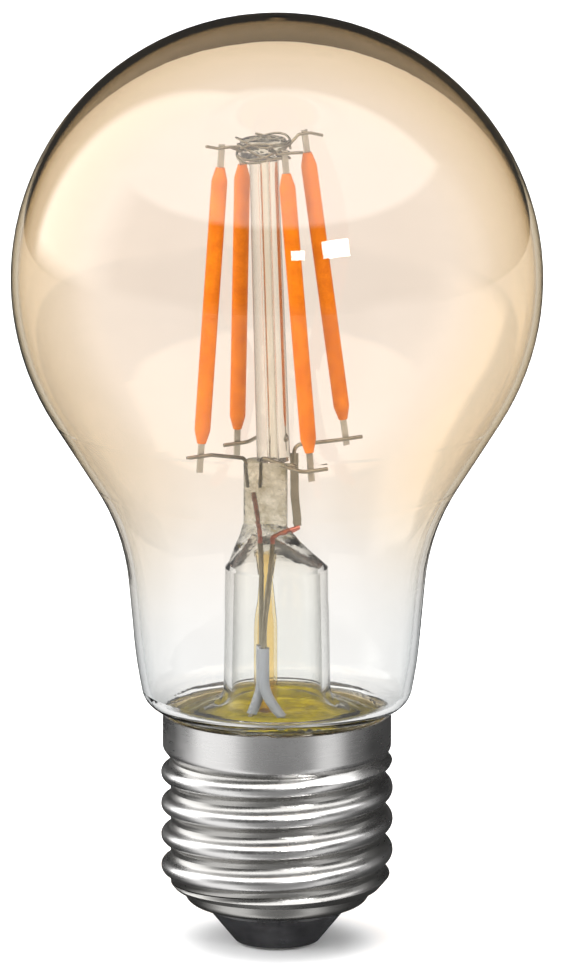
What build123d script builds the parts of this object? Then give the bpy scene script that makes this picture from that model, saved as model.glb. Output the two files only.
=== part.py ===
from build123d import *
import os
from math import atan2, cos, degrees, hypot, pi, radians, sin, tan

# LED filament lamp with an amber globe and a 27 mm screw cap.
# Frame: the origin is the middle of the centre contact's face, +Z runs up the
# lamp's axis to the top of the globe, -Y is the lamp's front. Millimetres.

# --- overall ---
overall_length = 107.0
globe_diameter = 60.0
fit_gap = 0.05              # running clearance between parts that only touch
seat_gap = 0.3              # glass shoulder above the cap's rim

# --- screw cap ---
cap_height = 27.0
skirt_radius = 13.0
skirt_height = 4.1
skirt_step = 1.2            # height of the cone between the thread and the skirt
crest_radius = 13.2
thread_depth = 1.1
thread_pitch = 3.629
thread_fade = 1.5           # height over which the thread runs out
crest_height = 9.9          # height of the lowest crest at the lamp's front
sheet = 0.3
core_overlap = 0.01         # how far the thread's roots sink into the core
shell_lip_radius = 8.0
shell_lip_z = 4.5
lip_slope = (0.6, 0.5)      # from the heel in to the lip: radius, height
shell_heel_radius = 10.9
shell_heel_z = 6.9
shell_bends = (1.2, 0.7, 0.9, 0.8, 0.8)
skirt_foot_z = cap_height - skirt_height
thread_foot_z = shell_heel_z + 1.3      # the thread has its full depth from here
thread_head_z = skirt_foot_z - thread_fade
thread_root = crest_radius - thread_depth

# --- insulator and contact ---
contact_radius = 3.6
contact_rim = 4.85
insulator_foot_z = 0.3
insulator_head_z = 8.6
contact_cup = 1.6           # depth of the contact's rim
contact_bevel = (0.5, 0.4)
contact_stem_radius = 1.4
contact_stem_rise = 0.8     # above the insulator's head
contact_bore = 0.9
solder_z = (0.1, 1.7, 2.2)  # foot, shoulder and tip of the drop of solder

# --- glass envelope ---
glass_wall = 0.8
cement_gap = 0.4            # between the cap's sheet and the neck
neck_depth = 2.4            # how far the neck reaches into the cap
shoulder_flare = 2.1        # how far the shoulder stands out past the skirt
shoulder_rise = 1.3
neck_low_flare = 3.0
neck_low_rise = 6.2
neck_radius = skirt_radius - sheet - cement_gap
neck_foot_z = cap_height - neck_depth
shoulder_inner_z = cap_height + seat_gap / 2
shoulder_radius = skirt_radius + shoulder_flare
shoulder_z = cap_height + shoulder_rise
neck_low_radius = skirt_radius + neck_low_flare
neck_low_z = cap_height + neck_low_rise
neck_half_angle = 5.2
flank_half_angle = 32.2
inner_bend = 0.6
shoulder_bend = 2.5
neck_bend = 50.0
flank_bend = 25.0

# --- stem ---
stem_radius = 5.8
stem_wall = 0.9
stem_spread = 0.3           # how much wider the tube is at its foot
flare_depth = 0.4           # how far the flare's rim lies below the cap's rim
flare_rise = 2.0
flare_bend = 1.8
flare_foot_z = cap_height - flare_depth
stem_shoulder_z = cap_height + 17.0
pinch_foot_z = stem_shoulder_z + 5.0
pinch_height = 7.2
pinch_head_z = pinch_foot_z + pinch_height
pinch_edge = 0.7
pinch_width = 5.6
pinch_thickness = 2.7
pinch_turn = 38.0
pinch_offset = -1.3
pinch_root = 1.5            # depth of solid glass below the pressed head
pinch_slit = (1.7, 0.5)     # half width and half depth of the hollow's tip

# --- exhaust tube ---
exhaust_radius = 1.35
exhaust_waist = 0.75
exhaust_wall = 0.4
exhaust_waist_z = stem_shoulder_z - 1.6
exhaust_head_z = stem_shoulder_z + 1.6
exhaust_taper = 5.5         # height over which the tube draws in to its waist
exhaust_bends = (20, 3)
exhaust_tip = 0.7           # how far the sealed tip reaches below the cement
exhaust_x = -1.3
exhaust_y = 1.25

# --- mount that carries the filaments ---
mount_lean = 1.8            # the whole mount leans to the lamp's left
lean_pivot_z = stem_shoulder_z
column_foot_radius = 1.9
column_head_radius = 1.65
column_bore = 0.5
column_seat = 0.08          # between the column's foot and the pressed head
bead_radius = 2.65
bead_height = 2.3
bead_edge = 0.45
bead_wire_height = 0.55     # share of the bead's height where the wires are set

# --- filaments ---
filament_count = 4
filament_yaw = 27.0
filament_length = 31.4
filament_radius = 0.9
filament_tip_radius = 0.5
filament_taper = 1.5
filament_top_circle = 5.45
filament_foot_circle = 9.0
filament_base_z = pinch_head_z + 1.9
filament_lifts = (1.6, 0.0, 1.1, 0.6)    # of each foot above the lowest one
column_head_z = filament_base_z + filament_length + 1.3
filament_bend = 1.5
strip_width = 0.72
strip_thickness = 0.24
tab_foot_length = 3.1
tab_head_length = 2.6
feed_weld_inset = (0.8, 1.4, 1.8, 1.2)   # from each foot tab's end to its wire
crown_weld_inset = 0.35
weld_gap = 0.02

# --- wires ---
feed_radius = 0.22
crown_wire_radius = 0.17
lead_radius = 0.3
sleeve_radius = 0.6
sleeve_head_z = stem_shoulder_z - 9.0
feed_run = 1.2              # straight run before a feed wire reaches its weld
feed_overhang = 1.9
crown_run = 0.9
crown_past = 0.6
crown_overhang = 1.5
ribbon_width = 0.95
ribbon_thickness = 0.3

# --- cement, inside the cap's rim ---
cement_foot_z = neck_foot_z
cement_head_z = cap_height - 0.3
plug_height = 2.6
plug_head_z = flare_foot_z - 0.3
plug_foot_z = plug_head_z - plug_height
exhaust_foot_z = plug_foot_z - exhaust_tip

# --- driver, inside the shell ---
board_width = 18.0
board_thickness = 1.0
board_corner = 1.0
board_foot_gap = 2.0        # above the insulator's head
board_head_gap = 1.1        # below the cement
board_foot_z = insulator_head_z + board_foot_gap
board_height = plug_foot_z - board_head_gap - board_foot_z
mount_gap = 0.1             # between the board's face and a part on it
paper_gap = 0.6             # between the paper tube and the shell
paper_wall = 0.25
paper_radius = min(thread_root, skirt_radius) - sheet - paper_gap
capacitor_radius = 3.15
capacitor_length = 8.0
choke_radius = 2.4
choke_core_radius = 1.3
choke_flange = 0.7
choke_height = 5.0
winding_inset = 0.3
part_foot = 0.6             # of the tall parts above the board's foot
can_edge = 0.4
fuse_radius = 1.1
fuse_length = 4.2
fuse_foot = 0.9
rectifier_size = (4.8, 1.6, 3.9)
film_size = (6.0, 3.0, 4.6)
chip_size = (3.9, 1.4, 4.9)
resistor_size = (0.8, 0.5, 1.6)
resistor_count = 4
resistor_pitch = 2.6
radio_x = 4.2
radio_size = (8.0, 0.8, 10.4)
shield_size = (6.6, 1.6, 6.4)
hookup_radius = 0.3

PARTS = "parts"
nodes = {}


def keep(name, shape):
    """Write one node's STEP file and remember its shape."""
    shape.label = name
    nodes[name] = shape
    export_step(shape, f"{PARTS}/{name}.step")


# ---------------------------------------------------------------- outlines
def shifted_outline(points, inset):
    """Move an open outline of (radius, height) points towards the axis side."""
    lines = []
    for (r0, z0), (r1, z1) in zip(points, points[1:]):
        run = hypot(r1 - r0, z1 - z0)
        step = ((z0 - z1) / run * inset, (r1 - r0) / run * inset)
        lines.append(((r0 + step[0], z0 + step[1]), (r1 - r0, z1 - z0)))
    first = lines[0][0]
    moved = [first]
    for (p, u), (q, v) in zip(lines, lines[1:]):
        cross = u[0] * v[1] - u[1] * v[0]
        t = ((q[0] - p[0]) * v[1] - (q[1] - p[1]) * v[0]) / cross
        moved.append((p[0] + u[0] * t, p[1] + u[1] * t))
    p, u = lines[-1]
    moved.append((p[0] + u[0], p[1] + u[1]))
    return moved


def bend_radii(points, bends, inset):
    """Corner radii after an inset: outward corners shrink, inward corners grow."""
    radii = []
    for (r0, z0), (r1, z1), (r2, z2), bend in zip(points, points[1:], points[2:], bends):
        turn = (r1 - r0) * (z2 - z1) - (z1 - z0) * (r2 - r1)
        radii.append(bend - inset if turn > 0 else bend + inset)
    return radii


def section(points):
    """Turn (radius, height) pairs into points of the XZ plane."""
    return [(r, 0, z) for r, z in points]


def turned(*edges):
    """Solid of revolution about Z from edges that close a half section."""
    return revolve(make_face(list(edges)), Axis.Z)


def closed_turning(outline, radii):
    """Solid under an outline that starts and ends away from the axis."""
    curve = FilletPolyline(*section(outline), radius=radii)
    low, high = outline[0], outline[-1]
    ends = Polyline(*section([high, (0, high[1]), (0, low[1]), low]))
    return revolve(make_face(curve.edges() + ends.edges()), Axis.Z)


# ------------------------------------------------------------------- shell
def shell_core(inset):
    """Body of the screw shell without its thread."""
    root = thread_root + core_overlap
    heel_rise = root - shell_heel_radius
    points = [
        (shell_lip_radius, shell_lip_z),
        (shell_heel_radius - lip_slope[0], shell_lip_z + lip_slope[1]),
        (shell_heel_radius, shell_heel_z),
        (root, shell_heel_z + heel_rise),
        (root, skirt_foot_z - skirt_step),
        (skirt_radius, skirt_foot_z),
        (skirt_radius, cap_height),
    ]
    radii = bend_radii(points, shell_bends, inset)
    return closed_turning(shifted_outline(points, inset), radii)


def thread_ridge(inset):
    """The rolled thread's rounded wave, swept along its right-hand helix."""
    half_pitch = thread_pitch / 2
    wave = atan2(thread_depth, half_pitch) * 2
    bend = half_pitch / (2 * sin(wave))
    crest_bend = bend - inset
    root_bend = bend + inset
    crest_centre = crest_radius - bend
    root_centre = thread_root + bend
    root_start = radians(4)
    backing = 0.6
    lower = []
    for angle in (root_start, (root_start + wave) / 2, wave):
        lower.append((root_centre - root_bend * cos(angle), root_bend * sin(angle) - half_pitch))
    lower.append((crest_centre + crest_bend * cos(wave / 2), -crest_bend * sin(wave / 2)))
    upper = [(r, -z) for r, z in lower]
    crest = (crest_centre + crest_bend, 0)
    foot, head = lower[0], upper[0]
    arcs = [
        (foot, lower[1], lower[2]),
        (lower[2], lower[3], crest),
        (crest, upper[3], upper[2]),
        (upper[2], upper[1], head),
    ]
    edges = [ThreePointArc(*section(arc)).edge() for arc in arcs]
    back = [head, (head[0] - backing, head[1]), (foot[0] - backing, foot[1]), foot]
    edges += list(Polyline(*section(back)).edges())
    start_z = thread_foot_z - thread_pitch
    swept_height = thread_head_z - thread_foot_z + 2 * thread_pitch + 1
    helix = Helix(pitch=thread_pitch, height=swept_height, radius=crest_centre)
    ridge = sweep(make_face(edges), path=helix, is_frenet=True)
    turn = 360 * ((crest_height - start_z) / thread_pitch % 1)
    return Pos(0, 0, start_z) * Rot(0, 0, -90 - turn) * ridge


def fade_cone(inset):
    """Envelope that lets the thread fade out at both ends."""
    sunk = thread_root - inset - 0.3
    sunk_head = min(thread_root, skirt_radius) - inset - 0.3
    clear = crest_radius - inset + 0.2
    full = 0.4
    points = [
        (0, thread_foot_z - thread_fade),
        (sunk, thread_foot_z - thread_fade),
        (clear, thread_foot_z + full),
        (clear, thread_head_z - full),
        (sunk_head, thread_head_z + thread_fade),
        (0, thread_head_z + thread_fade),
    ]
    return turned(*Polyline(*section(points), close=True).edges())


def screw_shell():
    """Thin rolled shell: the outer form less the same form one sheet inside."""
    outer = shell_core(0) + (thread_ridge(0) & fade_cone(0))
    hollow_core = shell_core(sheet)
    hollow_thread = thread_ridge(sheet) & fade_cone(sheet)
    mouth = Pos(0, 0, shell_lip_z) * Cylinder(shell_lip_radius, 2 * sheet)
    return outer - hollow_core - hollow_thread - mouth


def cap_insulator():
    """Black glass cone that closes the shell's mouth around the centre contact."""
    throat = shell_lip_radius - fit_gap
    collar = shell_heel_radius - sheet - 1.0
    collar_z = shell_lip_z + sheet + lip_slope[1] + 2 * fit_gap
    bore = contact_stem_radius + fit_gap
    seat = contact_radius + fit_gap
    points = [
        (seat, insulator_foot_z),
        (contact_rim, insulator_foot_z),
        (throat - 0.6, shell_lip_z - 1.1),
        (throat, shell_lip_z - 0.4),
        (throat, collar_z),
        (collar, collar_z + 0.6),
        (collar, insulator_head_z),
        (bore, insulator_head_z),
        (bore, contact_cup + fit_gap),
        (seat, contact_cup + fit_gap),
    ]
    return turned(*Polyline(*section(points), close=True).edges())


def centre_contact():
    """Tinned disc with a hollow stem that the live wire comes through."""
    head_z = insulator_head_z + contact_stem_rise
    points = [
        (contact_bore, 0),
        (contact_radius - contact_bevel[0], 0),
        (contact_radius, contact_bevel[1]),
        (contact_radius, contact_cup),
        (contact_stem_radius, contact_cup),
        (contact_stem_radius, head_z),
        (contact_bore, head_z),
    ]
    return turned(*Polyline(*section(points), close=True).edges())


def contact_solder():
    """Drop of solder that fills the foot of the contact's bore."""
    radius = contact_bore - fit_gap
    foot, shoulder, tip = solder_z
    points = [(0, foot), (radius, foot), (radius, shoulder), (0, tip)]
    return turned(*Polyline(*section(points), close=True).edges())


# ------------------------------------------------------------------- glass
def envelope_solid(inset):
    """Envelope's form, from the neck inside the cap to the top of the globe."""
    lean = tan(radians(neck_half_angle))
    flank = radians(flank_half_angle)
    centre_z = overall_length - globe_diameter / 2
    globe = globe_diameter / 2
    touch = (globe * cos(flank), centre_z - globe * sin(flank))
    slope = tan(flank)
    corner_z = (touch[0] - slope * touch[1] - neck_low_radius + lean * neck_low_z) / (lean - slope)
    corner = (neck_low_radius + lean * (corner_z - neck_low_z), corner_z)
    run = hypot(touch[0] - corner[0], touch[1] - corner[1])
    turn = radians(flank_half_angle - neck_half_angle)
    widest_bend = 0.8 * run / tan(turn / 2)
    points = [
        (neck_radius, neck_foot_z),
        (neck_radius, shoulder_inner_z),
        (shoulder_radius, shoulder_z),
        (neck_low_radius, neck_low_z),
        corner,
        touch,
    ]
    bends = [inner_bend, shoulder_bend, neck_bend, min(flank_bend, widest_bend)]
    moved = shifted_outline(points, inset)
    curve = FilletPolyline(*section(moved), radius=bend_radii(points, bends, inset))
    inner_globe = globe - inset
    crown = (0, centre_z + inner_globe)
    half = (pi / 2 - flank) / 2
    middle = (inner_globe * cos(half), centre_z + inner_globe * sin(half))
    arc = ThreePointArc(*section([moved[-1], middle, crown]))
    ends = Polyline(*section([crown, (0, moved[0][1]), moved[0]]))
    return revolve(make_face(curve.edges() + [arc.edge()] + ends.edges()), Axis.Z)


def glass_envelope():
    """Blown glass globe and neck, open at the foot."""
    mouth = Pos(0, 0, neck_foot_z) * Cylinder(neck_radius - glass_wall, 1)
    return envelope_solid(0) - envelope_solid(glass_wall) - mouth


def stem_body(inset):
    """Flared tube that is pressed flat at its head, solid."""
    radius = stem_radius - inset
    mouth = neck_radius - glass_wall - fit_gap - inset * 1.2
    points = [
        (mouth, flare_foot_z - inset),
        (radius + stem_spread, flare_foot_z + flare_rise - inset),
        (radius, stem_shoulder_z),
    ]
    curve = FilletPolyline(*section(points), radius=[flare_bend + inset])
    top = (0, stem_shoulder_z)
    ends = Polyline(*section([points[-1], top, (0, points[0][1]), points[0]]))
    return revolve(make_face(curve.edges() + ends.edges()), Axis.Z)


def pinch_place():
    """Where the pressed head stands and how it is turned."""
    return Pos(pinch_offset, 0, 0) * Rot(0, 0, -pinch_turn)


def stem_glass(cuts):
    """Flare, shoulder and pressed head in one glass, less the wires sealed in it."""
    head = pinch_place() * Pos(0, 0, pinch_foot_z) * SlotOverall(pinch_width, pinch_thickness)
    rim = Pos(0, 0, stem_shoulder_z) * Circle(stem_radius)
    shoulder = loft([rim.face(), head.face()])
    plate = extrude(head.face(), pinch_height)
    plate = fillet(plate.faces().sort_by(Axis.Z)[-1].edges(), pinch_edge)
    tip = pinch_place() * Pos(0, 0, pinch_foot_z - pinch_root) * Ellipse(*pinch_slit)
    mouth = Pos(0, 0, stem_shoulder_z) * Circle(stem_radius - stem_wall)
    hollow = loft([mouth.face(), tip.face()])
    glass = stem_body(0) + shoulder + plate
    glass = glass - stem_body(stem_wall) - hollow
    for cut in cuts:
        glass = glass - cut
    return glass


def exhaust_form(inset):
    """Outside of the exhaust tube, or its bore when it is inset."""
    points = [
        (exhaust_radius - inset, exhaust_foot_z + inset),
        (exhaust_radius - inset, exhaust_waist_z - exhaust_taper),
        (exhaust_waist - inset, exhaust_waist_z),
        (exhaust_radius - inset, exhaust_head_z),
    ]
    return Pos(exhaust_x, exhaust_y, 0) * closed_turning(points, exhaust_bends)


def exhaust_tube():
    """Thin tube with a drawn-in waist, sealed at its foot."""
    return exhaust_form(0) - exhaust_form(exhaust_wall)


# ------------------------------------------------------------------- mount
def leaning(shape):
    """Lean a piece of the mount about its pivot in the stem."""
    pivot = Pos(0, 0, lean_pivot_z)
    return pivot * Rot(0, -mount_lean, 0) * Pos(0, 0, -lean_pivot_z) * shape


def support_column():
    """Hollow glass rod from the pressed head to the bead."""
    foot_z = pinch_head_z + column_seat
    height = column_head_z - foot_z
    outside = Cone(column_foot_radius, column_head_radius, height)
    return Pos(0, 0, foot_z + height / 2) * (outside - Cylinder(column_bore, height))


def column_bead():
    """Glass bead on the column that the crown wires are set in."""
    bead = Cylinder(bead_radius, bead_height)
    bead = fillet(bead.edges(), bead_edge)
    return Pos(0, 0, column_head_z + bead_height / 2) * bead


def filament_frame(index):
    """Axis frame of a filament: its origin is the foot of the glowing body."""
    turn = filament_yaw + 360 / filament_count * index
    tilt = degrees(atan2(filament_foot_circle - filament_top_circle, filament_length))
    foot = Pos(filament_foot_circle, 0, filament_base_z + filament_lifts[index])
    return Rot(0, 0, turn) * foot * Rot(0, -tilt, 0) * Rot(0, 0, filament_yaw - turn)


def strip(width, thickness, foot_tab, head_tab):
    """Flat carrier strip with a bare tab at each end."""
    length = filament_length + foot_tab + head_tab
    middle = (filament_length + head_tab - foot_tab) / 2
    return Pos(0, 0, middle) * Box(width, thickness, length)


def filament_strip(index):
    tabs = (tab_foot_length, tab_head_length)
    return filament_frame(index) * strip(strip_width, strip_thickness, *tabs)


def filament_body(index):
    """Phosphor coat around the strip, rounded at both ends."""
    points = [
        (filament_tip_radius, 0),
        (filament_radius, filament_taper),
        (filament_radius, filament_length - filament_taper),
        (filament_tip_radius, filament_length),
    ]
    coat = closed_turning(points, [filament_bend, filament_bend])
    return filament_frame(index) * (coat - strip(strip_width, strip_thickness, 0, 0))


def weld_point(index, along, wire_radius):
    """Middle of a wire that is welded across the front of a tab."""
    off = strip_thickness / 2 + wire_radius + weld_gap
    return Vector(*(filament_frame(index) * Pos(0, -off, along)).position)


def outward(index):
    """Level direction, along the tabs' faces, in which a wire leaves its tab."""
    side = 1 if index in (0, 3) else -1
    yaw = radians(filament_yaw)
    return Vector(side * cos(yaw), side * sin(yaw), 0)


def wire(points, radius, bends):
    """Round wire of straight runs joined by tangent arcs."""
    path = FilletPolyline(*points, radius=bends)
    return sweep(Plane(origin=path @ 0, z_dir=path % 0) * Circle(radius), path=path)


# Where each feed wire starts and how it climbs, as x, y and height above the
# pressed head's top, before it turns to its tab.
feed_starts = (
    ((2.3, 0.7, -1.0), (2.35, 0.7, 1.4)),
    ((-1.3, 0.55, -2.8), (-1.2, 0.9, 1.1), (-1.6, 4.2, 1.8)),
    ((-2.9, 0.75, -3.0), (-3.2, 0.6, 0.2)),
    ((-1.5, -0.35, -2.8), (-1.3, -0.9, 0.6)),
)
feed_bends = (0.9, 1.0, 0.8)


def above_pinch(point):
    """Point given by its height above the pressed head's top."""
    return Vector(*point) + Vector(0, 0, pinch_head_z)


def feed_wire(index):
    """Wire from the pressed head to the foot tab of one filament."""
    along = feed_weld_inset[index] - tab_foot_length
    weld = weld_point(index, along, feed_radius)
    way = outward(index)
    points = [above_pinch(point) for point in feed_starts[index]]
    points += [weld - way * feed_run, weld + way * feed_overhang]
    bends = list(feed_bends[:len(points) - 2])
    return wire(points, feed_radius, bends)


crown_tips = (-0.45, 0.1, 0.4, -0.1)    # rise of each crown wire's free end
crown_root = 0.6            # how far a crown wire is set in, and stands out of, the bead
crown_climb = 0.1
crown_bends = (0.3, 0.3, 0.4)


def crown_wire(index):
    """Wire from the bead to the head tab of one filament."""
    along = filament_length + tab_head_length - crown_weld_inset
    weld = weld_point(index, along, crown_wire_radius)
    way = outward(index)
    before = weld - way * crown_run
    past = weld + way * crown_past
    tip = past + way * crown_overhang + Vector(0, 0, crown_tips[index])
    turn = atan2(before.Y, before.X)
    base_z = column_head_z + bead_height * bead_wire_height
    ray = Vector(cos(turn), sin(turn), 0)
    start = ray * (bead_radius - crown_root) + Vector(0, 0, base_z)
    out = ray * (bead_radius + crown_root) + Vector(0, 0, base_z + crown_climb)
    return wire([start, out, before, past, tip], crown_wire_radius, crown_bends)


ribbon_route = ((2.5, 1.1, -7.6), (2.25, 1.1, -4.2), (2.35, 1.1, 0.4))
ribbon_bend = 8


def lead_ribbon():
    """Flattened nickel lead that stands beside the pressed head."""
    path = FilletPolyline(*[above_pinch(point) for point in ribbon_route], radius=[ribbon_bend])
    start = Plane(origin=path @ 0, x_dir=(1, 0, 0), z_dir=path % 0)
    return sweep(start * Rectangle(ribbon_width, ribbon_thickness), path=path)


# ------------------------------------------------------------------- leads
sides = ("left", "right")
lead_feet = {"left": (-3.3, -2.5), "right": (1.3, -3.8)}
lead_runs = {"left": (-1.75, -1.0), "right": (-1.45, -2.35)}
lead_heads = {"left": (-1.75, -0.6), "right": (-0.5, -0.65)}
lead_foot_z = plug_foot_z - 1.6
lead_knee_z = plug_head_z - 0.8
lead_joined_z = plug_head_z + 3.7       # the two leads run side by side from here
lead_parted_z = stem_shoulder_z - 7.0   # and part again from here to their seals
lead_bends = (1.0, 4.0, 12)
seal_run = 0.8
seal_bend = 0.5
seal_ends = {"left": (-2.5, 0.5, -3.6), "right": (2.5, 1.1, -7.7)}
sleeve_lift = 0.35          # of the sleeve's end above the cement


def lead_points(side):
    """Route of a lead below the pressed head, from the driver up to its seal."""
    head_z = pinch_foot_z - pinch_root - 0.6
    return [
        Vector(*lead_feet[side], lead_foot_z),
        Vector(*lead_feet[side], lead_knee_z),
        Vector(*lead_runs[side], lead_joined_z),
        Vector(*lead_runs[side], lead_parted_z),
        Vector(*lead_heads[side], head_z),
    ]


def outer_lead(side):
    return wire(lead_points(side), lead_radius, lead_bends)


def lead_sleeve(side):
    """Woven sleeve over the lower part of a lead."""
    foot, knee, joined, parted, head = lead_points(side)
    climb = (plug_head_z + sleeve_lift - knee.Z) / (joined.Z - knee.Z)
    start = knee + (joined - knee) * climb
    route = [start, joined, Vector(joined.X, joined.Y, sleeve_head_z)]
    bends = [lead_bends[1]]
    return wire(route, sleeve_radius, bends) - wire(route, lead_radius + fit_gap, bends)


def seal_wire(side):
    """Copper-clad length that is sealed in the pressed glass."""
    start = lead_points(side)[-1]
    points = [start, start + Vector(0, 0, seal_run), above_pinch(seal_ends[side])]
    return wire(points, lead_radius, [seal_bend])


# ------------------------------------------------------------------ cement
def cement_ring():
    """Cement between the glass neck and the cap's skirt."""
    outside = skirt_radius - sheet - fit_gap
    inside = neck_radius + fit_gap
    height = cement_head_z - cement_foot_z
    ring = Cylinder(outside, height) - Cylinder(inside, height)
    return Pos(0, 0, cement_foot_z + height / 2) * ring


def cement_plug(cuts):
    """Olive cement that closes the neck below the stem's flare."""
    height = plug_head_z - plug_foot_z
    wide = neck_radius - glass_wall - fit_gap
    plug = Pos(0, 0, plug_foot_z + height / 2) * Cylinder(wide, height)
    for cut in cuts:
        plug = plug - cut
    return plug


# ------------------------------------------------------------------ driver
def on_board(x, z, thickness, back=False):
    """Middle of a part that stands off one face of the driver board."""
    y = board_thickness / 2 + mount_gap + thickness / 2
    return Pos(x, y if back else -y, board_foot_z + z)


def block(place, size, edge):
    """Block of an electronic part, with its upright edges eased."""
    return place * chamfer(Box(*size).edges().filter_by(Axis.Z), edge)


def driver_board():
    board = Box(board_width, board_thickness, board_height)
    board = fillet(board.edges().filter_by(Axis.Y), board_corner)
    return Pos(0, 0, board_foot_z + board_height / 2) * board


def electrolytic_capacitor():
    can = Cylinder(capacitor_radius, capacitor_length)
    can = fillet(can.edges(), can_edge)
    middle = part_foot + capacitor_length / 2
    return on_board(-4.6, middle, 2 * capacitor_radius) * can


def choke_place():
    return on_board(4.3, part_foot + choke_height / 2, 2 * choke_radius)


def choke_core():
    """Ferrite drum with a flange at each end."""
    drum = Cylinder(choke_core_radius, choke_height)
    lift = choke_height / 2 - choke_flange / 2
    for level in (-lift, lift):
        drum = drum + Pos(0, 0, level) * Cylinder(choke_radius, choke_flange)
    return choke_place() * drum


def choke_winding():
    height = choke_height - 2 * choke_flange - 2 * fit_gap
    outside = Cylinder(choke_radius - winding_inset, height)
    return choke_place() * (outside - Cylinder(choke_core_radius + fit_gap, height))


def bridge_rectifier():
    return block(on_board(4.3, 9.2, rectifier_size[1]), rectifier_size, 0.3)


def fuse_resistor():
    body = fillet(Cylinder(fuse_radius, fuse_length).edges(), can_edge)
    return on_board(0, fuse_foot + fuse_length / 2, 2 * fuse_radius) * body


def film_capacitor():
    body = fillet(Box(*film_size).edges(), can_edge)
    return on_board(-5.0, 3.2, film_size[1], True) * body


def driver_chip():
    return block(on_board(-5.0, 9.0, chip_size[1], True), chip_size, 0.25)


def chip_resistors():
    """Row of small resistors beside the driver chip."""
    row = []
    for step in range(resistor_count):
        place = on_board(-1.2, 2.2 + resistor_pitch * step, resistor_size[1], True)
        row.append(place * Box(*resistor_size))
    return Compound(children=row)


def radio_board():
    """Small board of the radio that makes the lamp controllable."""
    return on_board(radio_x, board_height / 2, radio_size[1], True) * Box(*radio_size)


def radio_shield():
    """Tinned can on the far face of the radio's board."""
    lift = Pos(0, radio_size[1] + fit_gap, 0)
    can = fillet(Box(*shield_size).edges().filter_by(Axis.Y), 0.5)
    return lift * on_board(radio_x, 4.6, shield_size[1], True) * can


def driver_sleeve():
    """Insulating paper tube between the driver and the shell."""
    tube = Cylinder(paper_radius, board_height) - Cylinder(paper_radius - paper_wall, board_height)
    return Pos(0, 0, board_foot_z + board_height / 2) * tube


def live_wire():
    """Wire from the contact's bore to the fuse resistor."""
    front = -board_thickness / 2 - mount_gap - fuse_radius
    points = [
        (0, 0, solder_z[2] + 0.4),
        (0, 0, insulator_head_z + contact_stem_rise + 0.1),
        (0, front, board_foot_z + 0.2),
        (0, front, board_foot_z + fuse_foot - 0.02),
    ]
    return wire(points, hookup_radius, [0.4, 0.3])


def neutral_wire():
    """Wire from the board's lower corner out to the screw shell."""
    front = -board_thickness / 2 - hookup_radius - fit_gap
    corner = board_width / 2 - 1.4
    shell_end = thread_root - sheet - 0.45
    points = [
        (corner, front, board_foot_z + 2.0),
        (corner, front, board_foot_z - 1.0),
        (shell_end, front, board_foot_z - 1.1),
    ]
    return wire(points, hookup_radius, [0.8])


def build():
    os.makedirs(PARTS, exist_ok=True)
    keep("screw_shell", screw_shell())
    keep("cap_insulator", cap_insulator())
    keep("centre_contact", centre_contact())
    keep("contact_solder", contact_solder())
    keep("glass_envelope", glass_envelope())

    feeds = [leaning(feed_wire(index)) for index in range(filament_count)]
    crowns = [leaning(crown_wire(index)) for index in range(filament_count)]
    seals = [seal_wire(side) for side in sides]
    leads = [outer_lead(side) for side in sides]
    ribbon = leaning(lead_ribbon())
    column = leaning(support_column())
    bead = leaning(column_bead())
    for piece in feeds:
        column = column - piece
    for piece in crowns:
        bead = bead - piece
    keep("stem_glass", stem_glass(feeds + seals + leads + [ribbon]))
    keep("exhaust_tube", exhaust_tube())
    keep("support_column", column)
    keep("column_bead", bead)
    keep("lead_ribbon", ribbon)
    for index in range(filament_count):
        number = index + 1
        keep(f"filament_{number}", leaning(filament_body(index)))
        keep(f"filament_strip_{number}", leaning(filament_strip(index)))
        keep(f"feed_wire_{number}", feeds[index])
        keep(f"crown_wire_{number}", crowns[index])
    for side, lead, seal in zip(sides, leads, seals):
        keep(f"outer_lead_{side}", lead)
        keep(f"lead_sleeve_{side}", lead_sleeve(side))
        keep(f"seal_wire_{side}", seal)

    keep("cement_ring", cement_ring())
    keep("cement_plug", cement_plug(leads + [exhaust_form(0)]))
    keep("driver_board", driver_board())
    keep("electrolytic_capacitor", electrolytic_capacitor())
    keep("choke_core", choke_core())
    keep("choke_winding", choke_winding())
    keep("bridge_rectifier", bridge_rectifier())
    keep("fuse_resistor", fuse_resistor())
    keep("film_capacitor", film_capacitor())
    keep("driver_chip", driver_chip())
    keep("chip_resistors", chip_resistors())
    keep("radio_board", radio_board())
    keep("radio_shield", radio_shield())
    keep("driver_sleeve", driver_sleeve())
    keep("live_wire", live_wire())
    keep("neutral_wire", neutral_wire())


build()
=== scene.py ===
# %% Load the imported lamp
import math

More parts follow.
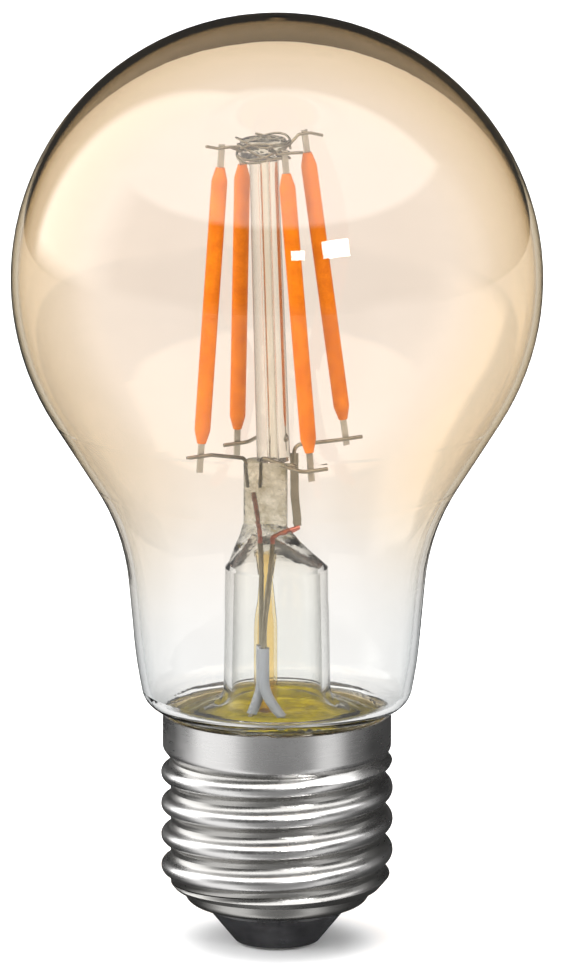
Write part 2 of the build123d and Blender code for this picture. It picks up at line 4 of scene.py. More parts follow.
import bpy
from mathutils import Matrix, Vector


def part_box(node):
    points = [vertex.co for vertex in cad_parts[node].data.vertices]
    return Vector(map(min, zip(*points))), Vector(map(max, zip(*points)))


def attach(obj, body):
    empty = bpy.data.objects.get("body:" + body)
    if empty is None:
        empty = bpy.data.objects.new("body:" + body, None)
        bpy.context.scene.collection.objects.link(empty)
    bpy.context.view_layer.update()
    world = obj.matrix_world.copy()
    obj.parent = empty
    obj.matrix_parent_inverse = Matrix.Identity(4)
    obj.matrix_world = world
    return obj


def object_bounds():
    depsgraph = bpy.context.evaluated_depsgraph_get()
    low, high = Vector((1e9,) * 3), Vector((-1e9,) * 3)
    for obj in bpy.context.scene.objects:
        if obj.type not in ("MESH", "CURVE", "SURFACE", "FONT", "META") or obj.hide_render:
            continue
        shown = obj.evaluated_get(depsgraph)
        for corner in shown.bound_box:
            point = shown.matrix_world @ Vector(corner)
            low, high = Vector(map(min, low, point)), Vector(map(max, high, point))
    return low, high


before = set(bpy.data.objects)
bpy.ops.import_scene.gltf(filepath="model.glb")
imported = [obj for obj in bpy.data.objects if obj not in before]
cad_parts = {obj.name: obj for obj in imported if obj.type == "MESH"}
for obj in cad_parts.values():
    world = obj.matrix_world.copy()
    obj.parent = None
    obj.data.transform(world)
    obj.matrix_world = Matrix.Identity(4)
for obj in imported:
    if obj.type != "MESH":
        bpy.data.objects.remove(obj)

MM = 0.001
cad_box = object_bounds()
print("CAD box in metres:", [round(v, 4) for corner in cad_box for v in corner])

# %% [markdown]
# A filament lamp is mostly glass, so most of this lesson is about what glass shows: the pale
# floor behind it, bent and tinted, and the lights in front of it, mirrored. The construction
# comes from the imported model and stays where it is. Blender adds the finish of every piece,
# the fine wire bound round the crown, and the light.

# %% Measures that the finishes share
ROOT = "root"
shell_low, shell_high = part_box("screw_shell")
bead_low, bead_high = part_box("column_bead")
crest_radius = (shell_high.x - shell_low.x) / 2
bead_radius = (bead_high.x - bead_low.x) / 2
bead_middle = (bead_low + bead_high) / 2
print("thread crest radius", round(crest_radius, 5), "bead radius", round(bead_radius, 5))

# %% [markdown]
# Shader trees get long, so small helpers keep them readable. The first two join one socket to
# another and start a material with its Principled shader, whose sockets take plain values.


# %% Starting a material
def join(tree, source, target):
    tree.links.new(source, target)


def start_material(name, **sockets):
    material = bpy.data.materials.new(name)
    material.use_nodes = True
    tree = material.node_tree
    shader = tree.nodes["Principled BSDF"]
    for key, value in sockets.items():
        shader.inputs[key.replace("_", " ")].default_value = value
    return material, tree, shader


# %% [markdown]
# A finish is mostly arithmetic: a mask picks between two colours, or a height picks a place on
# a ramp. Each helper makes one node, gives it numbers or joins it to other nodes, and hands
# back the socket with the answer, so that one call can stand inside another.


# %% Arithmetic and colours
def maths(tree, operation, first, second=None):
    node = tree.nodes.new("ShaderNodeMath")
    node.operation = operation
    for socket, value in zip(node.inputs, (first, second)):
        if value is None:
            continue
        if isinstance(value, (int, float)):
            socket.default_value = value
        else:
            join(tree, value, socket)
    return node.outputs[0]


def mix_colour(tree, factor, first, second, blend="MIX"):
    """A mix node has sockets for several kinds of value; 6 and 7 take colours, and 2 gives one."""
    node = tree.nodes.new("ShaderNodeMix")
    node.data_type = "RGBA"
    node.blend_type = blend
    for place, value in ((0, factor), (6, first), (7, second)):
        if isinstance(value, (int, float)):
            node.inputs[place].default_value = value
        elif isinstance(value, tuple):
            node.inputs[place].default_value = (*value, 1)
        else:
            join(tree, value, node.inputs[place])
    return node.outputs[2]


def ramp(tree, factor, stops):
    node = tree.nodes.new("ShaderNodeValToRGB")
    band = node.color_ramp
    while len(band.elements) < len(stops):
        band.elements.new(0.5)
    for element, (place, colour) in zip(band.elements, stops):
        element.position = place
        element.color = (*colour, 1)
    join(tree, factor, node.inputs[0])
    return node.outputs[0]


def span_of(tree, value, start, end, interpolation="LINEAR"):
    """0 where a value is at start, 1 where it is at end."""
    node = tree.nodes.new("ShaderNodeMapRange")
    node.interpolation_type = interpolation
    node.inputs["From Min"].default_value = start
    node.inputs["From Max"].default_value = end
    join(tree, value, node.inputs["Value"])
    return node.outputs[0]


# %% [markdown]
# Every pattern is placed by object coordinates, in metres from the lamp's own origin. They need
# no unwrapping, and one millimetre of pattern is a millimetre on every piece.


# %% Places on a piece
def object_place(tree):
    return tree.nodes.new("ShaderNodeTexCoord").outputs["Object"]


def parts_of(tree, vector):
    split = tree.nodes.new("ShaderNodeSeparateXYZ")
    join(tree, vector, split.inputs[0])
    return split.outputs


def stretched(tree, place, stretch):
    mapping = tree.nodes.new("ShaderNodeMapping")
    mapping.inputs["Scale"].default_value = stretch
    join(tree, place, mapping.inputs["Vector"])
    return mapping.outputs[0]


# %% [markdown]
# Three effects turn up on more than one finish, so each is a node group with named sockets: it
# is built once, and each material places it with values of its own. All three begin with
# noise, because nothing on a used lamp is even.


# %% Making a node group
def new_group(name, inputs, outputs):
    group = bpy.data.node_groups.new(name, "ShaderNodeTree")
    for label, default in inputs:
        socket = group.interface.new_socket(label, in_out="INPUT", socket_type="NodeSocketFloat")
        socket.default_value = default
    for label, kind in outputs:
        group.interface.new_socket(label, in_out="OUTPUT", socket_type=kind)
    start = group.nodes.new("NodeGroupInput")
    end = group.nodes.new("NodeGroupOutput")
    return group, start, end


def noise(tree, scale, detail, roughness=0.55, stretch=None):
    texture = tree.nodes.new("ShaderNodeTexNoise")
    texture.inputs["Detail"].default_value = detail
    texture.inputs["Roughness"].default_value = roughness
    join(tree, scale, texture.inputs["Scale"])
    place = object_place(tree)
    if stretch:
        place = stretched(tree, place, stretch)
    join(tree, place, texture.inputs["Vector"])
    return texture.outputs[0]


# %% [markdown]
# Handled metal has a cloudy polish and hairline marks. `fine_wear` adds broad clouds of noise
# to a finer noise that is drawn out sideways, the way marks run round a rolled cap. The sum
# sets how rough the metal is.


# %% Fine wear
def make_fine_wear():
    cloud_share = 0.65
    scratch_stretch = (0.25, 0.25, 3.0)
    group, start, end = new_group(
        "fine_wear",
        [("Cloud scale", 180.0), ("Scratch scale", 900.0),
         ("Low roughness", 0.18), ("High roughness", 0.4)],
        [("Roughness", "NodeSocketFloat"), ("Mask", "NodeSocketFloat"), ("Height", "NodeSocketFloat")],
    )
    clouds = noise(group, start.outputs["Cloud scale"], 5)
    marks = noise(group, start.outputs["Scratch scale"], 3, 0.6, scratch_stretch)
    clouds_part = maths(group, "MULTIPLY", clouds, cloud_share)
    marks_part = maths(group, "MULTIPLY", marks, 1 - cloud_share)
    blend = maths(group, "ADD", clouds_part, marks_part)
    span = group.nodes.new("ShaderNodeMapRange")
    span.inputs["From Min"].default_value = 0.3
    span.inputs["From Max"].default_value = 0.7
    join(group, blend, span.inputs["Value"])
    join(group, start.outputs["Low roughness"], span.inputs["To Min"])
    join(group, start.outputs["High roughness"], span.inputs["To Max"])
    join(group, span.outputs[0], end.inputs["Roughness"])
    join(group, clouds, end.inputs["Mask"])
    join(group, marks, end.inputs["Height"])
    return group


fine_wear = make_fine_wear()
print("node group:", fine_wear.name)

# %% [markdown]
# Cement, phosphor, paper and moulded plastic are uneven in colour and a little grainy. `mottle`
# mixes patches with grain. Its mask has more contrast than its height, because the eye notices
# uneven colour before it notices relief.


# %% Mottle
def make_mottle():
    group, start, end = new_group(
        "mottle",
        [("Patch scale", 300.0), ("Grain scale", 3000.0), ("Grain share", 0.3)],
        [("Mask", "NodeSocketFloat"), ("Height", "NodeSocketFloat")],
    )
    patches = noise(group, start.outputs["Patch scale"], 4)
    grain = noise(group, start.outputs["Grain scale"], 2)
    mixer = group.nodes.new("ShaderNodeMix")
    join(group, start.outputs["Grain share"], mixer.inputs[0])
    join(group, patches, mixer.inputs[2])
    join(group, grain, mixer.inputs[3])
    join(group, span_of(group, mixer.outputs[0], 0.35, 0.65), end.inputs["Mask"])
    join(group, mixer.outputs[0], end.inputs["Height"])
    return group


mottle = make_mottle()
print("node group:", mottle.name)

# %% [markdown]
# Blown and drawn glass is slowly wavy, which makes a reflection on a real lamp look drawn by
# hand and not ruled. `glass_ripple` is one smooth noise with hardly any fine detail.


# %% Glass ripple
def make_glass_ripple():
    group, start, end = new_group(
        "glass_ripple",
        [("Wave scale", 40.0)],
        [("Mask", "NodeSocketFloat"), ("Height", "NodeSocketFloat")],
    )
    waves = noise(group, start.outputs["Wave scale"], 1, 0.4)
    join(group, waves, end.inputs["Mask"])
    join(group, waves, end.inputs["Height"])
    return group


glass_ripple = make_glass_ripple()
print("node group:", glass_ripple.name)

# %% [markdown]
# Two more helpers use the groups. One places a group in a material with that material's own
# values, and the other turns a height into relief for the shader.


# %% Using a group
def place_group(tree, group, **values):
    node = tree.nodes.new("ShaderNodeGroup")
    node.node_tree = group
    for key, value in values.items():
        node.inputs[key.replace("_", " ")].default_value = value
    return node


def add_bump(tree, shader, height, strength, distance):
    bump = tree.nodes.new("ShaderNodeBump")
    bump.inputs["Strength"].default_value = strength
    bump.inputs["Distance"].default_value = distance
    join(tree, height, bump.inputs["Height"])
    join(tree, bump.outputs[0], shader.inputs["Normal"])


# %% [markdown]
# Glass has to let lamps through, or everything inside it stays dark. A renderer that follows
# light backwards rarely finds a lamp through two bent surfaces, so the usual way is taken: for
# shadow rays, and for rays that leave a dull surface, the glass turns into a plain tinted
# filter. What the eye sees stays real glass.


# %% Glass that lets light in
def let_lamps_through(tree, shader, tint):
    output = tree.nodes["Material Output"]
    path = tree.nodes.new("ShaderNodeLightPath")
    filter_shader = tree.nodes.new("ShaderNodeBsdfTransparent")
    join(tree, tint, filter_shader.inputs["Color"])
    mixer = tree.nodes.new("ShaderNodeMixShader")
    both = maths(tree, "MAXIMUM", path.outputs["Is Shadow Ray"], path.outputs["Is Diffuse Ray"])
    join(tree, both, mixer.inputs[0])
    join(tree, shader.outputs[0], mixer.inputs[1])
    join(tree, filter_shader.outputs[0], mixer.inputs[2])
    join(tree, mixer.outputs[0], output.inputs["Surface"])


# %% [markdown]
# The amber is a lustre, a metal coat fired on the globe and too thin to have a shape of its
# own. So it is a tint, mixed in by height: none at the neck, all of it over the globe. The
# amber and the clear tint both darken toward the outline, partly because the eye looks through
# more of the coat there and partly as painted shade, near black at the very rim. That is what
# draws the globe against a pale floor.


# %% Globe glass
amber_from = 34 * MM      # the lustre starts at this height
amber_to = 62 * MM        # and has its full colour from here up
amber_wander = 14 * MM    # how far its lower edge wanders up and down


def amber_glass():
    """Globe glass: amber lustre that fades to clear at the neck, with painted shade at the outline."""
    material, tree, shader = start_material(
        "amber_lustre_glass", Transmission_Weight=1.0, Roughness=0.0, IOR=1.46)
    facing = tree.nodes.new("ShaderNodeLayerWeight")
    facing.inputs["Blend"].default_value = 0.5
    tilt = facing.outputs["Facing"]
    # The lustre's colour face on, then painted shade toward the outline, near black at the rim.
    amber = ramp(tree, tilt, [
        (0.0, (0.975, 0.9, 0.83)),
        (0.25, (0.975, 0.89, 0.8)),
        (0.42, (0.975, 0.855, 0.69)),
        (0.74, (0.965, 0.79, 0.54)),
        (0.85, (0.8, 0.57, 0.27)),
        (0.94, (0.36, 0.2, 0.07)),
        (1.0, (0.08, 0.04, 0.012)),
    ])
    # Clear glass at the neck, also with painted shade toward the outline.
    clear = ramp(tree, tilt, [
        (0.0, (0.98, 0.975, 0.962)),
        (0.6, (0.94, 0.945, 0.94)),
        (0.84, (0.66, 0.7, 0.71)),
        (1.0, (0.14, 0.17, 0.19)),
    ])
    ripple = place_group(tree, glass_ripple, Wave_scale=45.0)
    centred = maths(tree, "SUBTRACT", ripple.outputs["Mask"], 0.5)
    uneven = maths(tree, "MULTIPLY", centred, amber_wander)
    height = maths(tree, "ADD", parts_of(tree, object_place(tree))["Z"], uneven)
    fade = span_of(tree, height, amber_from, amber_to, "SMOOTHSTEP")
    tint = mix_colour(tree, fade, clear, amber)
    join(tree, tint, shader.inputs["Base Color"])
    add_bump(tree, shader, ripple.outputs["Height"], 0.05, 1.0 * MM)
    let_lamps_through(tree, shader, tint)
    return material


globe_glass = amber_glass()
print("globe finish:", globe_glass.name)

# %% [markdown]
# The stem, the column and the bead inside are clear tube and rod. The top of the stem was
# pinched on its wires while it was soft. Its imported shape is smooth there, so bump gives the
# crumpled skin and the mottle's mask the smoke. Their rims carry painted shade: the tint darkens
# as the surface turns away from the eye. The indices of refraction are lower than real glass
# has, because at 1.5 the stem's shoulder bends all the pale floor out of sight and turns black.


# %% Stem, column and bead glass
pressed_from = 44.5 * MM    # the stem's clean tube ends at this height
pressed_to = 50.0 * MM      # and it is pressed solid from here up


def start_glass(name, face, rim_shade_tint, index, edge_from):
    """Glass with painted shade at its rims: its tint darkens as the surface turns from the eye."""
    material, tree, shader = start_material(
        name, Transmission_Weight=1.0, Roughness=0.0, IOR=index)
    facing = tree.nodes.new("ShaderNodeLayerWeight")
    # Painted shade: the tint darkens toward the outline.
    stops = [(0.0, face), (edge_from, face), (0.95, rim_shade_tint)]
    return material, tree, shader, ramp(tree, facing.outputs["Facing"], stops)


def clear_glass(name, face, rim_shade_tint, wave_scale, ripple_strength, index, edge_from=0.45):
    """Drawn glass with a slow ripple."""
    material, tree, shader, tint = start_glass(name, face, rim_shade_tint, index, edge_from)
    ripple = place_group(tree, glass_ripple, Wave_scale=wave_scale)
    join(tree, tint, shader.inputs["Base Color"])
    add_bump(tree, shader, ripple.outputs["Height"], ripple_strength, 0.5 * MM)
    let_lamps_through(tree, shader, tint)
    return material


def pressed_glass(name, face, rim_shade_tint, index, edge_from=0.3):
    """Stem glass: a clean tube below, crumpled and smoky where it was pressed on its wires."""
    material, tree, shader, tint = start_glass(name, face, rim_shade_tint, index, edge_from)
    pressed = span_of(tree, parts_of(tree, object_place(tree))["Z"], pressed_from, pressed_to)
    spots = place_group(tree, mottle, Patch_scale=520.0, Grain_scale=1500.0)
    smoke = mix_colour(tree, spots.outputs["Mask"], (0.3, 0.26, 0.14), (0.96, 0.94, 0.86))
    smoky = mix_colour(tree, 1.0, tint, smoke, "MULTIPLY")
    colour = mix_colour(tree, pressed, tint, smoky)
    join(tree, colour, shader.inputs["Base Color"])
    folds = maths(tree, "MULTIPLY", spots.outputs["Height"], pressed)
    add_bump(tree, shader, folds, 0.5, 1.2 * MM)
    let_lamps_through(tree, shader, colour)
    return material


# Tint seen face on, painted shade tint at the outline; for the drawn glass then the scale and the
# strength of its ripple; the index of refraction; and how far over the surface tilts before the painted
# shade begins.
stem_finish = pressed_glass("stem_glass", (0.97, 0.975, 0.96), (0.05, 0.052, 0.042), 1.2)
column_finish = clear_glass(
    "column_glass", (0.93, 0.92, 0.86), (0.03, 0.025, 0.012), 200.0, 0.05, 1.4, 0.12)
exhaust_finish = clear_glass(
    "exhaust_glass", (0.96, 0.82, 0.52), (0.4, 0.27, 0.1), 300.0, 0.08, 1.3)
bead_finish = clear_glass(
    "bead_glass", (0.72, 0.73, 0.66), (0.3, 0.3, 0.25), 900.0, 0.8, 1.4)
print("glass finishes:", stem_finish.name, column_finish.name, exhaust_finish.name, bead_finish.name)

# %% [markdown]
# The cap is thin sheet with a nickel coat. New nickel is a soft mirror, and handling leaves it
# cloudy and marked. Its colour carries painted shade: darker in the thread's valleys, lighter on
# the crests. The mask for that painted shade is simply how far a point is from the lamp's axis.


# %% Nickel cap
def axis_distance(tree):
    place = parts_of(tree, object_place(tree))
    square_x = maths(tree, "MULTIPLY", place["X"], place["X"])
    square_y = maths(tree, "MULTIPLY", place["Y"], place["Y"])
    return maths(tree, "SQRT", maths(tree, "ADD", square_x, square_y))


def nickel_cap():
    material, tree, shader = start_material("rolled_nickel", Metallic=1.0)
    wear = place_group(tree, fine_wear, Cloud_scale=160.0, Scratch_scale=1400.0,
                       Low_roughness=0.2, High_roughness=0.36)
    # Painted shade: the nickel's colour is darker in the thread's valleys and lighter on its crests.
    valley_shade_mask = span_of(tree, axis_distance(tree), crest_radius - 1.0 * MM, crest_radius - 0.2 * MM)
    shaded_metal = mix_colour(tree, valley_shade_mask, (0.5, 0.49, 0.47), (0.8, 0.79, 0.78))
    cloudy = mix_colour(tree, wear.outputs["Mask"], (0.84, 0.84, 0.84), (1.0, 1.0, 1.0))
    join(tree, mix_colour(tree, 1.0, shaded_metal, cloudy, "MULTIPLY"), shader.inputs["Base Color"])
    join(tree, wear.outputs["Roughness"], shader.inputs["Roughness"])
    add_bump(tree, shader, wear.outputs["Height"], 0.12, 0.05 * MM)
    return material


nickel = nickel_cap()
print("cap finish:", nickel.name)

# %% [markdown]
# The small metal pieces are wire, tabs, tin, copper and solder. They are too small to show a
# history of their own, so one recipe serves them all and only colour and polish differ.


# %% Small metal pieces
def worn_metal(name, dark, light, low, high):
    material, tree, shader = start_material(name, Metallic=1.0)
    wear = place_group(tree, fine_wear, Cloud_scale=700.0, Scratch_scale=2500.0,
                       Low_roughness=low, High_roughness=high)
    join(tree, mix_colour(tree, wear.outputs["Mask"], dark, light), shader.inputs["Base Color"])
    join(tree, wear.outputs["Roughness"], shader.inputs["Roughness"])
    add_bump(tree, shader, wear.outputs["Height"], 0.15, 0.03 * MM)
    return material


# Dark and light colour of the clouds, then the lowest and the highest roughness.
tin = worn_metal("tinned_brass", (0.5, 0.48, 0.44), (0.75, 0.73, 0.68), 0.25, 0.45)
solder = worn_metal("soft_solder", (0.55, 0.55, 0.56), (0.78, 0.78, 0.8), 0.3, 0.5)
wire_finish = worn_metal("nickel_wire", (0.2, 0.18, 0.13), (0.42, 0.38, 0.29), 0.25, 0.45)
strip_finish = worn_metal("strip_steel", (0.42, 0.4, 0.34), (0.66, 0.63, 0.54), 0.3, 0.5)
copper_finish = worn_metal("copper_seal", (0.55, 0.16, 0.12), (0.78, 0.33, 0.27), 0.3, 0.5)
can_finish = worn_metal("drawn_aluminium", (0.55, 0.56, 0.58), (0.75, 0.76, 0.78), 0.25, 0.4)
print("metal finishes:", tin.name, solder.name, wire_finish.name, strip_finish.name,
      copper_finish.name, can_finish.name)

# %% [markdown]
# Everything that is not glass or metal is cast, dipped or moulded. One short recipe serves:
# two colours mixed by the mottle's mask, a roughness, and a little relief from its height.


# %% Cast, dipped and moulded finishes
def mottled(name, dark, light, roughness, patch, grain, relief=0.1, **sockets):
    material, tree, shader = start_material(name, Roughness=roughness, **sockets)
    spots = place_group(tree, mottle, Patch_scale=patch, Grain_scale=grain)
    join(tree, mix_colour(tree, spots.outputs["Mask"], dark, light), shader.inputs["Base Color"])
    add_bump(tree, shader, spots.outputs["Height"], relief, 0.1 * MM)
    return material


# Dark and light colour of the patches, roughness, scale of the patches, scale of the grain,
# and the relief.
phosphor = mottled("phosphor_coat", (0.42, 0.108, 0.0003), (0.56, 0.168, 0.0005), 0.5, 500.0,
                   4000.0, 0.2, Specular_IOR_Level=0.2)
black_glass = mottled("black_cap_glass", (0.012, 0.012, 0.013), (0.035, 0.035, 0.038), 0.22,
                      500.0, 5000.0, 0.15, Coat_Weight=0.4)
cement = mottled("olive_cement", (0.12, 0.1, 0.001), (0.5, 0.43, 0.01), 0.5, 420.0, 1800.0, 0.5,
                 Specular_IOR_Level=0.1)
cement_white = mottled("rim_cement", (0.3, 0.26, 0.14), (0.5, 0.45, 0.28), 0.7, 600.0, 4000.0, 0.4)
laminate = mottled("board_laminate", (0.02, 0.14, 0.06), (0.04, 0.25, 0.11), 0.4, 400.0, 5000.0)
ferrite = mottled("ferrite", (0.03, 0.03, 0.035), (0.08, 0.08, 0.085), 0.6, 700.0, 5000.0, 0.3)
black_mould = mottled("black_mould", (0.012, 0.012, 0.012), (0.04, 0.04, 0.04), 0.5, 900.0, 6000.0)
red_coat = mottled("red_coat", (0.3, 0.03, 0.015), (0.5, 0.07, 0.035), 0.4, 600.0, 4000.0)
paper = mottled("insulating_paper", (0.5, 0.42, 0.26), (0.68, 0.6, 0.42), 0.8, 300.0, 3500.0, 0.3)
jacket = mottled("wire_jacket", (0.35, 0.02, 0.015), (0.55, 0.04, 0.03), 0.35, 700.0, 5000.0)
print("mottled finishes:", phosphor.name, black_glass.name, cement.name, "and others")

# %% [markdown]
# The sleeves on the outer leads are woven from glass fibre. Modelling each thread would cost
# very many faces on so thin a piece, so two sets of bands that cross make the weave, in the
# colour and in the relief.


# %% Woven sleeve
def woven_sleeve():
    """Glass-fibre sleeve: two crossing bands of thread make the weave."""
    material, tree, shader = start_material("woven_glass_fibre", Roughness=0.6)
    heights = []
    for lean in (1, -1):
        wave = tree.nodes.new("ShaderNodeTexWave")
        wave.bands_direction = "DIAGONAL"
        wave.inputs["Scale"].default_value = 2600.0
        leaning = stretched(tree, object_place(tree), (lean, lean, 1))
        join(tree, leaning, wave.inputs["Vector"])
        heights.append(wave.outputs[1])
    weave = maths(tree, "MAXIMUM", *heights)
    thread = mix_colour(tree, weave, (0.13, 0.145, 0.19), (0.29, 0.31, 0.36))
    join(tree, thread, shader.inputs["Base Color"])
    add_bump(tree, shader, weave, 0.25, 0.03 * MM)
    return material


sleeve_finish = woven_sleeve()
print("sleeve finish:", sleeve_finish.name)

# %% [markdown]
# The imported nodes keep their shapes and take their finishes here. The names run from 1 to 4
# where the lamp repeats a piece, so a loop dresses each family.


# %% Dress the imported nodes
def dress(material, *names):
    for name in names:
        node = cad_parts[name]
        node.data.materials.clear()
        node.data.materials.append(material)


def numbered(*stems):
    return [f"{stem}_{number}" for stem in stems for number in range(1, 5)]


dress(globe_glass, "glass_envelope")
dress(stem_finish, "stem_glass")
dress(column_finish, "support_column")
dress(exhaust_finish, "exhaust_tube")
dress(bead_finish, "column_bead")
dress(nickel, "screw_shell")
dress(black_glass, "cap_insulator")
dress(tin, "centre_contact")
dress(solder, "contact_solder")
dress(phosphor, *numbered("filament"))
dress(strip_finish, *numbered("filament_strip"))
dress(wire_finish, *numbered("feed_wire", "crown_wire"), "lead_ribbon")
dress(wire_finish, "outer_lead_left", "outer_lead_right")
dress(sleeve_finish, "lead_sleeve_left", "lead_sleeve_right")
dress(copper_finish, "seal_wire_left", "seal_wire_right", "choke_winding")
dress(cement, "cement_plug")
dress(cement_white, "cement_ring")
dress(laminate, "driver_board", "radio_board")
dress(can_finish, "electrolytic_capacitor", "radio_shield")
dress(ferrite, "choke_core")
dress(black_mould, "bridge_rectifier", "driver_chip", "chip_resistors")
dress(red_coat, "fuse_resistor", "film_capacitor")
dress(paper, "driver_sleeve")
dress(jacket, "live_wire", "neutral_wire")
undressed = [name for name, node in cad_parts.items() if not node.data.materials]
print("nodes without a finish:", undressed)

# %% [markdown]
# The crown wires are bound on the bead with a few untidy turns of finer wire. A curve with a
# bevel could be that wire. A mesh is made here, ring by ring along a list of points, because
# it shows how a tube is built: rings of corners, joined by faces, with a cap at each end.


# %% A tube along a line
def tube(name, route, radius, sides=8):
    """Mesh tube along a list of points, closed at both ends."""
    corners = []
    for index, point in enumerate(route):
        before = route[max(index - 1, 0)]
        after = route[min(index + 1, len(route) - 1)]
        along = (after - before).normalized()
        across = along.cross(Vector((0, 0, 1))).normalized()
        up = across.cross(along)
        for side in range(sides):
            angle = 2 * math.pi * side / sides
            corners.append(point + across * (radius * math.cos(angle)) + up * (radius * math.sin(angle)))
    faces = [tuple(range(sides)), tuple(range(len(corners) - 1, len(corners) - 1 - sides, -1))]
    for ring in range(len(route) - 1):
        for side in range(sides):
            a = ring * sides + side
            b = ring * sides + (side + 1) % sides
            faces.append((b, a, a + sides, b + sides))
    mesh = bpy.data.meshes.new(name)
    mesh.from_pydata(corners, [], faces)
    mesh.update()
    for face in mesh.polygons:
        face.use_smooth = len(face.vertices) == 4
    piece = bpy.data.objects.new(name, mesh)
    bpy.context.collection.objects.link(piece)
    return piece


# %% [markdown]
# An even spiral would look machine-made. So the binding's radius and height wander as it turns
# round the bead, and the sines run at rates that are not whole numbers, so that no two turns
# are alike.

# %% Binding on the crown
binding_turns = 5.3
binding_steps = 150
binding_radius = 0.13 * MM
binding_stand = 0.3 * MM    # mean distance of the turns from the bead
binding_wander = 0.25 * MM  # how far they wander in and out
binding_climb = 1.0 * MM    # how far they wander up and down, slowly
binding_shake = 0.35 * MM   # and quickly


def binding_route():
    """Points of the wire: turns round the bead at a wandering radius and height."""
    route = []
    for step in range(binding_steps + 1):
        turn = 2 * math.pi * binding_turns * step / binding_steps
        wander = math.sin(turn * 0.73) * 0.3 + math.sin(turn * 1.9 + 1) * 0.25
        out = bead_radius + binding_stand + binding_wander * wander
        lift = binding_climb * math.sin(turn * 0.41) + binding_shake * math.sin(turn * 2.3)
        route.append(bead_middle + Vector((out * math.cos(turn), out * math.sin(turn), lift)))
    return route


binding = tube("crown_binding", binding_route(), binding_radius)
binding.data.materials.append(wire_finish)
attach(binding, ROOT)
print("binding corners:", len(binding.data.vertices))

# %% [markdown]
# Clear glass is shown before a bright pale floor with dark beyond it, so that it draws its own
# outline. The floor is there twice. The eye and the shadow meet the plain one. Glass looks
# through to a second disc, which shines evenly and ends a metre behind the lamp. The dark
# beyond it, bent by the globe, becomes the deep amber band over the crown.


# %% Floor
def disc(name, radius, height, steps=96):
    mesh = bpy.data.meshes.new(name)
    turn = 2 * math.pi / steps
    rim = [(radius * math.cos(turn * i), radius * math.sin(turn * i), height) for i in range(steps)]
    mesh.from_pydata(rim, [], [tuple(range(steps))])
    piece = bpy.data.objects.new(name, mesh)
    bpy.context.collection.objects.link(piece)
    return piece


def floor_tone(tree, dark, light):
    """Nearly even tone with broad, faint patches."""
    spots = place_group(tree, mottle, Patch_scale=6.0, Grain_scale=60.0)
    return mix_colour(tree, spots.outputs["Mask"], (dark,) * 3, (light,) * 3)


def pale_floor():
    material, tree, shader = start_material("pale_floor", Roughness=0.8)
    join(tree, floor_tone(tree, 0.88, 0.9), shader.inputs["Base Color"])
    return material


def lit_floor():
    """What the glass sees of the floor: as bright as the floor in the lamps' light."""
    material, tree, shader = start_material(
        "lit_floor", Base_Color=(0, 0, 0, 1), Roughness=1.0, Specular_IOR_Level=0.0,
        Emission_Strength=1.0)
    join(tree, floor_tone(tree, 1.0, 1.04), shader.inputs["Emission Color"])
    return material


floor_radius = 4.0
bright_floor_radius = 1.0
floor_z = cad_box[0].z - 0.06 * MM
bright_floor_z = cad_box[0].z - 0.02 * MM
floor = disc("floor", floor_radius, floor_z)
floor.data.materials.append(pale_floor())
floor.visible_glossy = False
floor.visible_transmission = False
bright_floor = disc("bright_floor", bright_floor_radius, bright_floor_z)
bright_floor.data.materials.append(lit_floor())
bright_floor.visible_camera = False
bright_floor.visible_glossy = False
bright_floor.visible_diffuse = False
bright_floor.visible_shadow = False
print("floor discs:", floor.name, bright_floor.name)

# %% [markdown]
# One wide box overhead lights the floor and casts the faint shadow. A box at each side models
# the dull pieces. Nickel and glass would mirror these boxes as hard squares, so they are
# hidden from mirror rays, and mirrors see painted surroundings in their place. Only two small
# boxes show in the globe: they are the two windows of a room.


# %% Lights
def soft_box(name, place, target, width, height, power):
    light = bpy.data.lights.new(name, "AREA")
    light.shape = "RECTANGLE"
    light.size = width
    light.size_y = height
    light.energy = power
    lamp = bpy.data.objects.new(name, light)
    lamp.location = place
    lamp.rotation_euler = (Vector(target) - Vector(place)).to_track_quat("-Z", "Y").to_euler()
    bpy.context.collection.objects.link(lamp)
    return lamp


lamp_middle = (0, 0, 0.055)
overhead = soft_box("overhead_box", (0, 0.25, 1.3), (0, 0.2, 0), width=1.6, height=1.6, power=24)
left_box = soft_box("left_box", (-0.6, -0.42, 0.22), lamp_middle, width=0.32, height=0.6, power=5.0)
right_box = soft_box("right_box", (0.62, -0.5, 0.25), lamp_middle, width=0.14, height=0.5, power=1.6)
for box in (overhead, left_box, right_box):
    box.visible_glossy = False
    box.visible_transmission = False
window_near = soft_box("window_near", (0.182, -1.098, 0.505), lamp_middle,
                       width=0.12, height=0.085, power=0.9)
window_far = soft_box("window_far", (0.5, -0.98, 0.535), lamp_middle,
                      width=0.24, height=0.15, power=3.2)
for box in (window_near, window_far):
    box.visible_transmission = False

# %% [markdown]
# Metal is only as good as what it mirrors. The surroundings could be real walls and screens,
# but a painted world is quicker to shape: two ramps give the brightness by bearing, one for
# the walls and one for the floor below the horizon, and a pale ceiling closes it. Bright at
# the left, less bright at the right and dark between, they put the streaks on the cap.


# %% Surroundings
# Degrees round from the front toward +X, then the light from there.
wall_light = [
    (-180, 0.03), (-134, 0.04), (-128, 2.4), (-92, 2.2), (-74, 0.5), (-52, 0.1), (0, 0.05),
    (60, 0.06), (84, 0.4), (100, 0.6), (112, 0.1), (140, 0.03), (180, 0.03),
]
floor_light = [
    (-180, 0.04), (-125, 0.05), (-102, 0.3), (-84, 1.2), (-46, 1.15), (-30, 0.4), (0, 0.26),
    (34, 0.3), (46, 1.0), (62, 0.9), (78, 0.2), (110, 0.06), (180, 0.04),
]
ceiling_light = (2.2, 2.2, 2.2)
# Each pair is where one light begins to give way to the next and where it has done so. They
# are parts of a direction one long: its height, its height again, and its way to the front.
horizon = (0.02, -0.08)
ceiling_foot = (0.53, 0.57)
ceiling_back = (-0.22, -0.18)


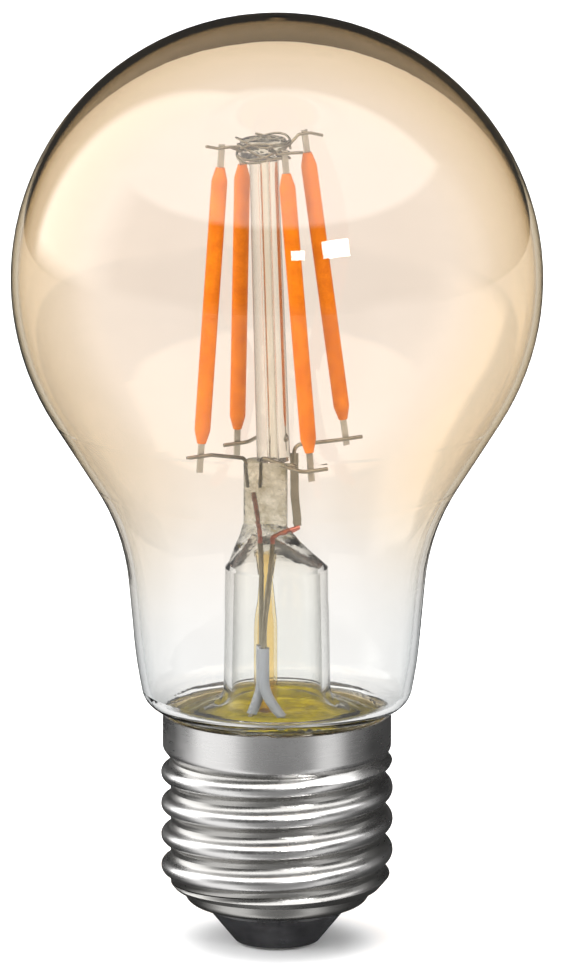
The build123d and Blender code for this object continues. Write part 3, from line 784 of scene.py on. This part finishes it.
def studio_world():
    """Light by direction: bright sides, dark front and back, and a pale ceiling."""
    world = bpy.data.worlds.new("studio")
    world.use_nodes = True
    tree = world.node_tree
    background = tree.nodes["Background"]
    direction = parts_of(tree, tree.nodes.new("ShaderNodeTexCoord").outputs["Generated"])
    toward_front = maths(tree, "MULTIPLY", direction["Y"], -1.0)
    bearing = maths(tree, "ARCTAN2", direction["X"], toward_front)
    share = maths(tree, "ADD", maths(tree, "MULTIPLY", bearing, 0.5 / math.pi), 0.5)
    bands = []
    for light in (wall_light, floor_light):
        stops = [(angle / 360 + 0.5, (value,) * 3) for angle, value in light]
        bands.append(ramp(tree, share, stops))
    below = span_of(tree, direction["Z"], *horizon)
    above = span_of(tree, direction["Z"], *ceiling_foot)
    before = span_of(tree, toward_front, *ceiling_back)
    sides = mix_colour(tree, below, *bands)
    ceiling = maths(tree, "MINIMUM", above, before)
    join(tree, mix_colour(tree, ceiling, sides, ceiling_light), background.inputs["Color"])
    background.inputs["Strength"].default_value = 1.0
    bpy.context.scene.world = world
    return world


print("surroundings:", studio_world().name)

# %% [markdown]
# A long lens from a little over a metre keeps the lamp's two sides parallel, as a product shot
# does. The camera looks down by about a seventh of a right angle, and the frame is a little
# taller than the lamp.

# %% Camera
camera_elevation = math.radians(12.5)
camera_distance = 1.15
frame_height = 109.6 * MM
sensor_height = 24          # millimetres, the unit of camera data
look_at = Vector((0.4 * MM, 0, 53.3 * MM))

camera_data = bpy.data.cameras.new("camera")
camera_data.sensor_fit = "VERTICAL"
camera_data.sensor_height = sensor_height
camera_data.lens = sensor_height * camera_distance / frame_height
camera_data.clip_start = 0.05
camera = bpy.data.objects.new("camera", camera_data)
away = Vector((0, -math.cos(camera_elevation), math.sin(camera_elevation)))
camera.location = look_at + away * camera_distance
camera.rotation_euler = (-away).to_track_quat("-Z", "Y").to_euler()
bpy.context.collection.objects.link(camera)
bpy.context.scene.camera = camera
print("lens in millimetres:", round(camera_data.lens))

# %% [markdown]
# Light crosses many walls of glass here, one behind the other, so it may bounce more often than
# usual; with too few bounces the inner pieces turn black. The standard view keeps the pale
# floor near white.

# %% Bounces and view
glass_bounces = 32
bpy.context.scene.view_settings.view_transform = "Standard"
bpy.context.scene.cycles.max_bounces = glass_bounces
bpy.context.scene.cycles.transmission_bounces = glass_bounces
bpy.context.scene.cycles.transparent_max_bounces = glass_bounces
print("bounces:", bpy.context.scene.cycles.max_bounces)
